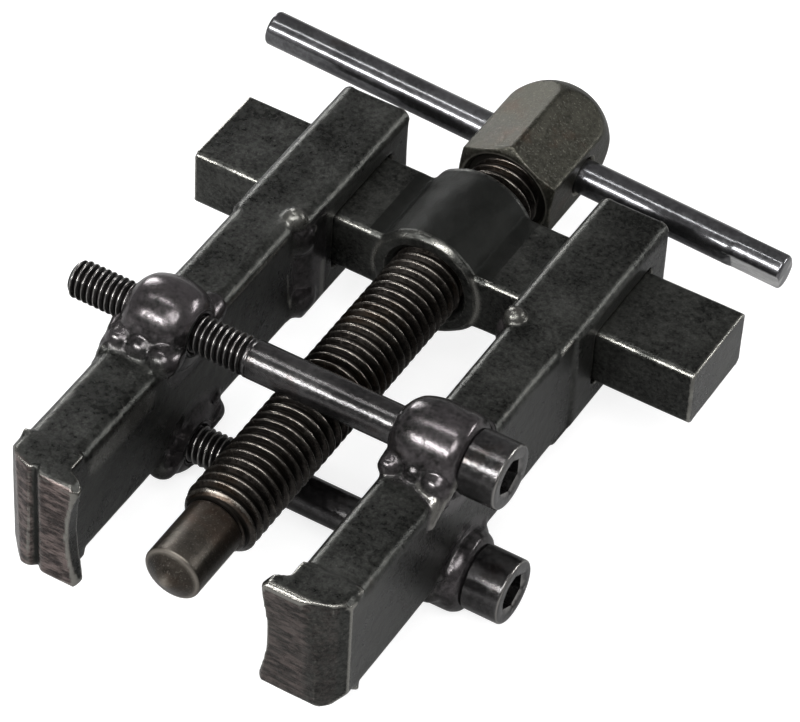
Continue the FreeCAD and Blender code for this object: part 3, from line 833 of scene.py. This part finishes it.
# distances across a leg are from the middle of the pair; inwards is less
leg = {
    "inner": 17.7 * mm, "outer": 27.6 * mm, "loopInner": 16.3 * mm, "loopFront": 62.4 * mm, "top": 10 * mm,
    "barEnd": 58 * mm, "bevel": 1.1 * mm, "claw": 3.6 * mm, "column": 3.7 * mm, "knob": 1.75 * mm,
    "bossRound": 0.70, "weld": 2.4 * mm, "weldStep": 3.4 * mm, "sideWeld": 1.15 * mm, "ridge": 0.7 * mm,
    "groundAndReflection": 0.5 * mm, "rightGround": 0.5, "grooveAt": 22 * mm, "grooveWide": 0.6 * mm,
    "grooveDeep": 1.0 * mm,
    # points of the forked ridge in mm from the upper sleeve's axis and the leg's outer top edge
    "fork": [(-3.4, -7.2, 0.2), (-0.4, -8.4, -0.3), (0.6, -4.0, 1.4), (0.3, -7.2, -0.6), (0.05, -10.2, -3)],
    # planes that shape the claw: a point across and up in mm, and the way the plane faces
    "clawPlanes": [((14.7, 8.9), (-1, 0, 0.9)), ((14.7, -8.9), (-1, 0, -0.9)), ((26.9, 10), (1, 0, 1)),
                   ((26, -10), (1, 0, -1)), ((20, 9.7), (0, -1, 1)), ((20, -9.6), (0, -1, -1))],
    # painted highlight lines on the left leg, laid as light worn metal: strength, two ends in mm, and how far
    # they reach in mm
    "paintedHighlightLines": [(0.8, (17.7, 40, 8.5), (17.7, 57, 8.7), (0.1, 0.36)),
                    (0.5, (17.7, 7, 6.2), (17.7, 20, 6.6), (0.8, 2.8)),
                    (0.8, (16.3, 65.1, -1.5), (16.3, 65.1, -8.5), (0.3, 0.9)),
                    (0.8, (17.7, 57.4, 1), (17.7, 58.2, -6), (0.1, 0.4))],
}


def makeLeg(side):
    # side is +1 for the right leg, -1 for the left
    name = "right" if side > 0 else "left"
    nodes = [f"{name}_leg", f"{name}_upper_boss", f"{name}_lower_boss"]
    low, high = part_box(nodes[0])
    pair = (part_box("left_leg")[0].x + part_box("right_leg")[1].x) / 2
    bosses = [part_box(node) for node in nodes[1:]]
    station = (bosses[0][0].y + bosses[0][1].y) / 2
    bossRadius = (bosses[0][1].y - bosses[0][0].y) / 2
    inner, outer, top = leg["inner"], leg["outer"], leg["top"]
    loopInner, loopFront = leg["loopInner"], leg["loopFront"]

    def spot(across, along, up):
        return Vector((pair + side * across, along, up))

    shape = bmesh.new()
    cadCopy(shape, *nodes)
    for level in (1, -1):
        for edge, seed in ((-1, 3), (1, 7)):
            # weld fills the corner between sleeve and leg
            beside = station + edge * (bossRadius - 0.4 * mm)
            addBead(shape, [spot(inner + 1.2 * mm, beside, level * (top + 0.5 * mm)),
                            spot(outer - 1.4 * mm, beside, level * (top + 0.5 * mm))],
                    leg["weld"], leg["weldStep"], seed + side)
            for face, seedMore in ((inner + 0.4 * mm, 11), (outer - 0.4 * mm, 13)):
                beside = station + edge * (bossRadius - 0.3 * mm)
                addBead(shape, [spot(face, beside, level * (top + 0.6 * mm)),
                                spot(face, beside, level * (top - 2.4 * mm))],
                        leg["sideWeld"], leg["sideWeld"], seed + seedMore)
    # a forked ridge of weld runs down the outside in front of the upper sleeve
    inside, insideBend, outside, outsideBend, tip = [
        spot(outer + across * mm, station + along * mm, top + up * mm) for across, along, up in leg["fork"]]
    fork = [(inside, insideBend), (insideBend, tip), (outside, outsideBend), (outsideBend, tip)]
    for seed, line in enumerate(fork):
        addBead(shape, line, leg["ridge"], leg["ridge"] * 0.5, seed)
    # column lobes and the knob above them
    knob = spot(loopInner + 2.2 * mm, loopFront - 1.9 * mm, top - 0.15 * mm)
    for up in (-1, 1):
        addLump(shape, spot(loopInner + 2.9 * mm, loopFront - 1.1 * mm, up * 6.2 * mm),
                (leg["column"], leg["column"], 3.9 * mm))
    addLump(shape, knob, (leg["knob"], leg["knob"], leg["knob"]))

    def pressing(points):
        middle = pair + side * (inner + outer) / 2
        loopOuter = high.x - pair if side > 0 else pair - low.x
        loopMiddle = pair + side * (loopInner + loopOuter) / 2
        bar = (points[:, 1] > leg["claw"]) & (points[:, 1] < leg["barEnd"])
        loop = points[:, 1] > leg["barEnd"]
        points = cornersRounded(points, [0, 2], (middle, 0), ((outer - inner) / 2, top), leg["bevel"], bar)
        points = cornersRounded(points, [0, 2], (loopMiddle, 0), ((loopOuter - loopInner) / 2, top),
                                leg["bevel"], loop)
        claw = 1 - softStep(points[:, 1], 2.2 * mm, leg["claw"])
        front = low.y
        # the horns of the claw are rounded and the outer corner below is knocked off
        for (across, up), (outwards, forwards, upwards) in leg["clawPlanes"]:
            place = spot(across * mm, front, up * mm)
            points = pressed(points, place, (side * outwards, forwards, upwards), claw)
        # the outer part of the ground face leans back
        if side > 0:
            points = pressed(points, spot(21.5 * mm, front, 9 * mm), (0.36, -1, 0.11), claw)
        else:
            points = pressed(points, spot(leg["grooveAt"] + 0.5 * mm, front, 0), (-0.34, -1, 0.04), claw)
            across = side * (points[:, 0] - pair) - leg["grooveAt"]
            groove = np.exp(-(across / leg["grooveWide"]) ** 2) * (points[:, 1] < front + 1.2 * mm)
            points[:, 1] += leg["grooveDeep"] * groove
        # sleeves narrow towards their ends where they stand clear of the leg
        for boss in bosses:
            centre, half = (boss[0] + boss[1]) / 2, (boss[1].x - boss[0].x) / 2
            share = np.abs(points[:, 0] - centre.x) / half
            away = points[:, 1:] - np.array(centre)[1:]
            distance = np.hypot(away[:, 0], away[:, 1])
            clear = softStep(np.abs(points[:, 2]), top - 0.5 * mm, top + 1.5 * mm)
            clear = np.maximum(clear, softStep(share, 0.86, 0.95))
            if side > 0:
                # the right sleeves keep a sharp rim under the screw heads
                share = share * (points[:, 0] < centre.x)
            rounded = np.sqrt(1 - (leg["bossRound"] * np.clip(share, 0, 1)) ** 2)
            rounded = 1 - (1 - rounded) * clear * softStep(distance, 3.6 * mm, 5 * mm)
            near = (distance < bossRadius + 0.3 * mm) & (share < 1.05)
            narrowed = np.array(centre)[1:] + away * rounded[:, None]
            points[:, 1:] = np.where(near[:, None], narrowed, points[:, 1:])
        return points

    piece = forged(f"{name}_leg_forging", shape, pressing)
    points = meshPoints(piece.data)
    # heat tint and painted sheen around the sleeves and on the column lobes
    heatTintAndSheen = np.zeros(len(points))
    for boss in bosses:
        away = points[:, 1:] - np.array((boss[0] + boss[1]) / 2)[1:]
        distance = np.hypot(away[:, 0], away[:, 1])
        heatTintAndSheen = np.maximum(heatTintAndSheen, 1 - softStep(distance, bossRadius + 0.8 * mm, bossRadius + 2.6 * mm))
    column = np.array(spot(loopInner + 2.5 * mm, loopFront, 0))[:2]
    below = 1 - softStep(points[:, 2], top - 1.2 * mm, top - 0.6 * mm)
    distance = np.hypot(*(points[:, :2] - column).T)
    heatTintAndSheen = np.maximum(heatTintAndSheen, below * (1 - softStep(distance, 3.6 * mm, 4.8 * mm)))
    # the claw's face is ground, most of all on the left, and the knob gets a painted highlight laid as light
    # worn metal
    across = side * (points[:, 0] - pair)
    reach = low.y + 0.36 * np.maximum(across - 21.5 * mm, 0)
    groundAndReflection = 1 - softStep(points[:, 1] - reach, 0.25 * mm, leg["groundAndReflection"])
    groove = np.exp(-((across - leg["grooveAt"]) / leg["grooveWide"]) ** 2)
    groundAndReflection *= leg["rightGround"] if side > 0 else 1 - 0.9 * groove
    highlightAndWear = 0.6 * (1 - softStep(np.sqrt(((points - np.array(knob)) ** 2).sum(1)), 1.4 * mm, 2.1 * mm))
    relief = readValues(piece.data.attributes["relief"].data, "value")
    corner = softStep(relief, 0.07, 0.15) * (points[:, 2] < top - 0.4 * mm)
    if side > 0:
        groundAndReflection *= 1 - 0.7 * softStep(across, 21.8 * mm, 23.2 * mm)
        # painted highlights laid as light worn metal on the edge beside the ground face, the claw's top lip
        # and the forked ridge, which also gets the tint and painted sheen
        highlightAndWear = np.maximum(highlightAndWear, corner * (points[:, 1] < low.y + 6 * mm) * (across > 25.6 * mm))
        lip = (points[:, 2] > top - 1.4 * mm) & (points[:, 1] < low.y + 1.2 * mm)
        highlightAndWear = np.maximum(highlightAndWear, 0.8 * softStep(relief, 0.05, 0.12) * lip)
        for start, end in fork:
            highlightAndWear = np.maximum(highlightAndWear, 0.75 * nearLine(points, start, end, 0.5 * mm, 0.95 * mm))
            heatTintAndSheen = np.maximum(heatTintAndSheen, nearLine(points, start, end, 0.8 * mm, 1.5 * mm))
    else:
        # painted highlight along the claw's inner edge, laid as light worn metal
        highlightAndWear = np.maximum(highlightAndWear, 0.8 * corner * (points[:, 1] < low.y + 2.5 * mm) * (across < 17.6 * mm))
        # painted highlights laid as light worn metal: a bright line under the inner top edge and two lines
        # beside the column, and a paler patch below the edge that is a painted reflection
        for strength, start, end, (full, none) in leg["paintedHighlightLines"]:
            start, end = [spot(*(value * mm for value in point)) for point in (start, end)]
            highlightAndWear = np.maximum(highlightAndWear, strength * nearLine(points, start, end, full * mm, none * mm))
    addMark(piece.data, "groundAndReflection", groundAndReflection)
    addMark(piece.data, "heatTintAndSheen", heatTintAndSheen)
    addMark(piece.data, "highlightAndWear", highlightAndWear)
    finished(piece, f"{name}_leg", "forged_steel", *nodes)
    print(name, "leg made")


makeForcingScrew()
makeCentrePoint()
makeHexCap()
makeTommyBar()
makeClampScrew("upper")
makeClampScrew("lower")
makeCrossbar()
makeLeg(-1)
makeLeg(1)


studio = {
    "floorDrop": 0.1 * mm, "paper": 0.38, "paperGlow": 0.78, "world": 0.28, "worldGlow": 0.72,
    "sun": 1.7, "sunAngle": 30, "sunFrom": (0.35, -0.45, 0.82),
    # each lamp: place, what it faces, width and height, power
    "front strip": ((-0.30, -0.64, 0.56), (-0.30, 0.05, 0), (0.80, 0.09), 9.5),
    "top strip": ((-0.30, 0.02, 0.85), (-0.30, 0.05, 0), (0.80, 0.03), 1.9),
    "thread box": ((-0.66, 0.60, 0.30), (0, 0.05, 0), (0.22, 0.22), 2.8),
    "back strip": ((0.64, 0.62, 0.32), (0, 0.05, 0), (0.40, 0.08), 2.4),
}


def seenGlow(tree, socket, base, glow):
    # extra brightness that only the camera sees, so that the backdrop is white and the steel stays dark
    seen = tree.nodes.new("ShaderNodeLightPath").outputs["Is Camera Ray"]
    tree.links.new(mathNode(tree, "ADD", mathNode(tree, "MULTIPLY", seen, glow), base), socket)


def makeFloor():
    material = bpy.data.materials.new("paper")
    material.use_nodes = True
    paper = material.node_tree.nodes["Principled BSDF"]
    paper.inputs["Base Color"].default_value = (studio["paper"], studio["paper"], studio["paper"], 1)
    paper.inputs["Roughness"].default_value = 0.9
    paper.inputs["Emission Color"].default_value = (1, 1, 1, 1)
    seenGlow(material.node_tree, paper.inputs["Emission Strength"], 0, studio["paperGlow"])
    mesh = bpy.data.meshes.new("floor")
    height = cadBox[0].z - studio["floorDrop"]
    mesh.from_pydata([(-3, -3, height), (3, -3, height), (3, 3, height), (-3, 3, height)], [], [(0, 1, 2, 3)])
    newPiece("floor", mesh, material)


def makeLight(name, place, aim, size, strength):
    lamp = bpy.data.lights.new(name, "AREA")
    lamp.shape = "RECTANGLE"
    lamp.size, lamp.size_y = size
    lamp.energy = strength
    light = bpy.data.objects.new(name, lamp)
    scene.collection.objects.link(light)
    light.location = place
    light.rotation_euler = (Vector(aim) - Vector(place)).to_track_quat("-Z", "Y").to_euler()


def makeStudio():
    world = bpy.data.worlds.new("studio")
    world.use_nodes = True
    world.node_tree.nodes["Background"].inputs["Color"].default_value = (1, 1, 1, 1)
    strength = world.node_tree.nodes["Background"].inputs["Strength"]
    seenGlow(world.node_tree, strength, studio["world"], studio["worldGlow"])
    scene.world = world
    makeFloor()
    for name in ("front strip", "top strip", "thread box", "back strip"):
        makeLight(name, *studio[name])
    sun = bpy.data.objects.new("sun", bpy.data.lights.new("sun", "SUN"))
    scene.collection.objects.link(sun)
    sun.data.energy, sun.data.angle = studio["sun"], math.radians(studio["sunAngle"])
    sun.rotation_euler = Vector(studio["sunFrom"]).to_track_quat("Z", "Y").to_euler()
    scene.view_settings.view_transform = "Standard"


view = {"aim": (5.18 * mm, 52.46 * mm, 0), "distance": 646.12 * mm, "azimuth": 28.43, "elevation": 45.44,
        "roll": 3.48, "lens": 201.02, "sensor": 36}


def makeCamera():
    camera = bpy.data.objects.new("camera", bpy.data.cameras.new("camera"))
    scene.collection.objects.link(camera)
    camera.data.lens, camera.data.sensor_width = view["lens"], view["sensor"]
    around, up = math.radians(view["azimuth"]), math.radians(view["elevation"])
    back = Vector((math.sin(around) * math.cos(up), -math.cos(around) * math.cos(up), math.sin(up)))
    camera.location = Vector(view["aim"]) + back * view["distance"]
    level = (-back).to_track_quat("-Z", "Y").to_matrix().to_4x4()
    camera.rotation_euler = (level @ Matrix.Rotation(math.radians(view["roll"]), 4, "Z")).to_euler()
    scene.camera = camera


makeStudio()
makeCamera()
